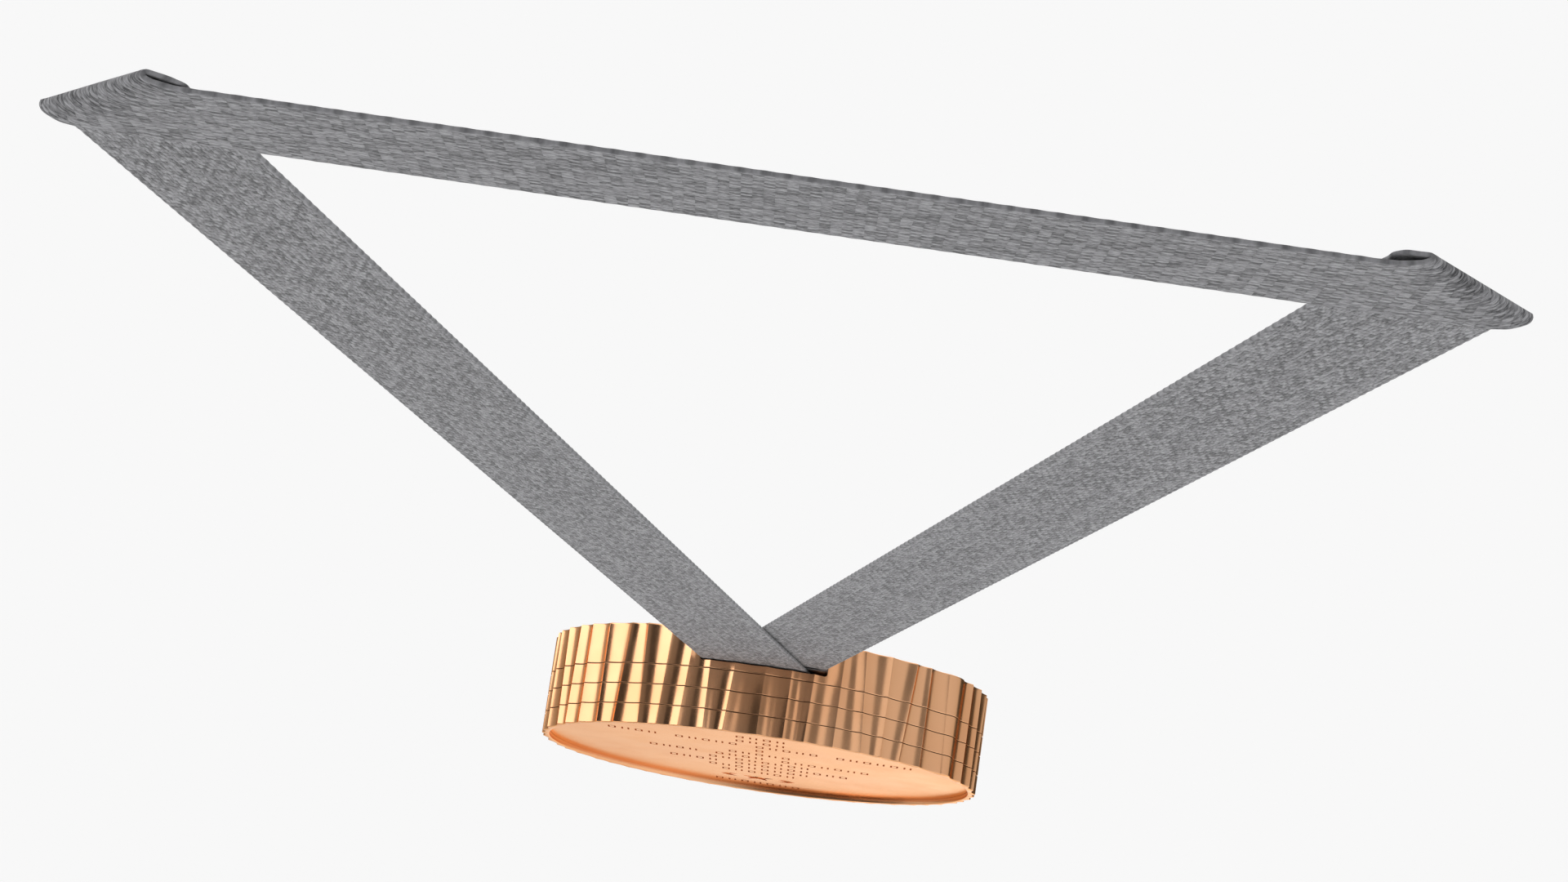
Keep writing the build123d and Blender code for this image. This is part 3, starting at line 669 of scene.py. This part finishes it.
def build_ribbon():
    """The woven band as one closed mesh, and the length of its middle line in mm."""
    inner = np.linspace(-RIBBON_HALF + PLAIN_INSET, RIBBON_HALF - PLAIN_INSET, PLAIN_COLUMNS)
    left_edge = [-RIBBON_HALF + d for d in EDGE_INSETS]
    columns = np.array(left_edge + list(inner) + [-e for e in left_edge[::-1]])
    halves = np.array(list(EDGE_HALVES) + [RIBBON_THICK / 2] * len(inner)
                      + list(EDGE_HALVES[::-1]))
    rows = ribbon_rows()
    grids, flats = [], []
    for side in (-1, 1):
        order = rows[::-1] if side < 0 else rows[1:]
        v = np.array([r[0] for r in order])[:, None]
        skew = np.array([r[1] for r in order])[:, None]
        u = np.repeat(columns[None], len(order), 0)
        v = v + skew * u
        grids.append(ribbon_point(side, u, v))
        flats.append(np.stack([u, side * v], -1))
    middle = np.vstack(grids)
    flat = np.vstack(flats)
    du = np.gradient(middle, axis=1)
    dv = np.gradient(middle, axis=0)
    normal = np.cross(du, dv)
    normal /= np.linalg.norm(normal, axis=-1, keepdims=True)
    across = du / np.linalg.norm(du, axis=-1, keepdims=True)
    edge = np.clip((np.abs(flat[..., 0]) - RIBBON_HALF) / SELVEDGE_DEPTH + 1, 0, 1)
    beat = np.cos(2 * math.pi * flat[..., 1] / SELVEDGE_PITCH)
    half = halves[None] + SELVEDGE_THICKEN * edge * beat
    middle = middle + across * (np.sign(flat[..., 0]) * edge ** 3 * SELVEDGE_OUT * beat)[..., None]
    top = middle + normal * half[..., None]
    low = middle - normal * half[..., None]
    count_v, count_u = half.shape
    loop = np.concatenate([top, low[:, ::-1]], 1)
    flat_loop = np.concatenate([flat, flat[:, ::-1]], 1)
    size = 2 * count_u
    points = loop.reshape(-1, 3)
    faces = []
    for j in range(count_v - 1):
        a, b = j * size, (j + 1) * size
        for i in range(size):
            k = (i + 1) % size
            faces.append((a + i, b + i, b + k, a + k))
    last = (count_v - 1) * size
    for base in (0, last):
        for i in range(count_u - 1):
            faces.append((base + i, base + i + 1, base + size - 2 - i, base + size - 1 - i))
    piece = mesh_piece("neck_ribbon", [tuple(p) for p in points], faces, None, WEAVE, 50)
    layer = piece.data.uv_layers.new(name="weave")
    coords = flat_loop.reshape(-1, 2)
    indices = np.zeros(len(piece.data.loops), int)
    piece.data.loops.foreach_get("vertex_index", indices)
    layer.data.foreach_set("uv", coords[indices].astype(np.float32).ravel())
    centre_line = middle[:, len(columns) // 2]
    return piece, float(np.linalg.norm(np.diff(centre_line, axis=0), axis=1).sum())


ribbon, ribbon_length = build_ribbon()
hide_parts("neck_strap", "left_fold", "right_fold", "left_leg", "right_leg",
            "ribbon_turn", "front_lead", "back_lead")
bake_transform(ribbon)


# ----------------------------------------------------------------------- stage
FLOOR_DROP = 1.2
FLOOR_HALF = 12
FLOOR_GLOW = 0.705


def build_floor():
    low = cad_box[0]
    mesh = bpy.data.meshes.new("floor")
    z = low[2] - FLOOR_DROP
    corners = ((-1, -1), (1, -1), (1, 1), (-1, 1))
    mesh.from_pydata([(x * FLOOR_HALF, y * FLOOR_HALF, z) for x, y in corners], [],
                     [(0, 1, 2, 3)])
    floor = bpy.data.objects.new("floor", mesh)
    bpy.context.scene.collection.objects.link(floor)
    material, tree, shader = new_material("pale floor")
    place = add_node(tree, "ShaderNodeTexCoord").outputs["Object"]
    speck = noise(tree, place, 3.0, 2.0)
    tone = mix_colour(tree, speck, (0.30, 0.30, 0.30, 1), (0.305, 0.305, 0.305, 1))
    tree.links.new(tone, shader.inputs["Base Color"])
    shader.inputs["Roughness"].default_value = 0.9
    shader.inputs["Specular IOR Level"].default_value = 0.0
    shader.inputs["Emission Color"].default_value = (1, 1, 1, 1)
    shader.inputs["Emission Strength"].default_value = FLOOR_GLOW
    mesh.materials.append(material)
    floor.visible_glossy = False
    return floor


build_floor()


# Light round the object: (degrees about Y, level), 0 towards +X and 90 towards +Z.
BEHIND_STOPS = (
    (-180, 2.0), (-157, 2.0), (-152, 0.45), (-110, 0.3), (-94, 0.55), (-90.5, 0.62),
    (-87.5, 1.7), (-78, 1.7), (-72, 0.08), (-37, 0.08), (-31, 0.62), (29, 0.68),
    (33, 0.22), (56, 0.2), (60, 0.85), (89, 0.85), (93, 0.24), (118, 0.2),
    (122, 0.05), (148, 0.05), (152, 2.0), (180, 2.0),
)
AHEAD_STOPS = (
    (-180, 0.5), (-150, 0.6), (-110, 0.8), (-94, 0.96), (-91, 1.12), (-87.5, 1.4),
    (-76, 1.4), (-68, 1.1), (-30, 1.0), (40, 1.0), (70, 0.6), (95, 0.12), (120, 0.05),
    (180, 0.1),
)
TOP_LEVEL = 2.0
# where a direction's depth changes from ahead to behind, the middle of the bands and the
# distance from it over which they give way to the broad light
AHEAD_EDGE = 0.06
BAND_MIDDLE = 0.1
BAND_EDGE = (0.35, 0.65)
# (from, to, level at from, level at to) of the broad light, by height and to the left
BROAD_HEIGHT = (-0.7, 0.8, 0.7, 1.15)
BROAD_LEFT = (-0.95, -0.4, 3.4, 1.0)


def build_world():
    """Soft studio: bands of light round the rim, broad soft light ahead and behind."""
    world = bpy.data.worlds.new("studio")
    bpy.context.scene.world = world
    world.use_nodes = True
    tree = world.node_tree
    background = tree.nodes["Background"]
    direction = add_node(tree, "ShaderNodeTexCoord").outputs["Generated"]
    parts = add_node(tree, "ShaderNodeSeparateXYZ", {"Vector": direction})
    x, y, z = (parts.outputs[k] for k in "XYZ")
    angle = math_node(tree, "ARCTAN2", z, x)
    share = math_node(tree, "ADD", math_node(tree, "DIVIDE", angle, 2 * math.pi), 0.5)
    ramp = add_node(tree, "ShaderNodeValToRGB", {"Fac": share})
    ahead_ramp = add_node(tree, "ShaderNodeValToRGB", {"Fac": share})
    for node, table in ((ramp, BEHIND_STOPS), (ahead_ramp, AHEAD_STOPS)):
        elements = node.color_ramp.elements
        while len(elements) < len(table):
            elements.new(1.0)
        for element, (degrees, level) in zip(elements, table):
            element.position = (degrees + 180) / 360
            element.color = (*[level / TOP_LEVEL] * 3, 1)
    ahead = map_range(tree, y, -AHEAD_EDGE, AHEAD_EDGE, 1, 0)
    band = mix_colour(tree, ahead, ramp.outputs["Color"], ahead_ramp.outputs["Color"])
    band = math_node(tree, "MULTIPLY", band, TOP_LEVEL)
    side = math_node(tree, "ABSOLUTE", math_node(tree, "SUBTRACT", y, BAND_MIDDLE))
    away = map_range(tree, side, *BAND_EDGE, 0, 1)
    rise = map_range(tree, z, *BROAD_HEIGHT)
    left = map_range(tree, x, *BROAD_LEFT)
    rise = math_node(tree, "MULTIPLY", rise, left)
    beside = math_node(tree, "SUBTRACT", 1.0, away)
    level = math_node(tree, "ADD", math_node(tree, "MULTIPLY", band, beside),
                      math_node(tree, "MULTIPLY", rise, away))
    tree.links.new(level, background.inputs["Strength"])
    background.inputs["Color"].default_value = (1, 1, 1, 1)


build_world()


# ---------------------------------------------------------------------- camera
CAMERA_PLACE = (10.429, -114.008, 420.171)
CAMERA_RIGHT = (0.98964, 0.14294, 0.01346)
CAMERA_UP = (-0.14264, 0.96821, 0.20547)
LENS, SENSOR = 94.42, 36
CLIP_NEAR, CLIP_FAR = 0.01, 100


def build_camera():
    data = bpy.data.cameras.new("camera")
    data.lens = LENS
    data.sensor_width = SENSOR
    data.clip_start = CLIP_NEAR
    data.clip_end = CLIP_FAR
    camera = bpy.data.objects.new("camera", data)
    bpy.context.scene.collection.objects.link(camera)
    right, up = Vector(CAMERA_RIGHT), Vector(CAMERA_UP)
    back = right.cross(up).normalized()
    up = back.cross(right).normalized()
    turn = Matrix((right.normalized(), up, back)).transposed()
    place = Matrix.Translation(Vector(CAMERA_PLACE) * MM)
    camera.matrix_world = place @ turn.to_4x4()
    bpy.context.scene.camera = camera


build_camera()
bpy.context.scene.view_settings.view_transform = "Standard"
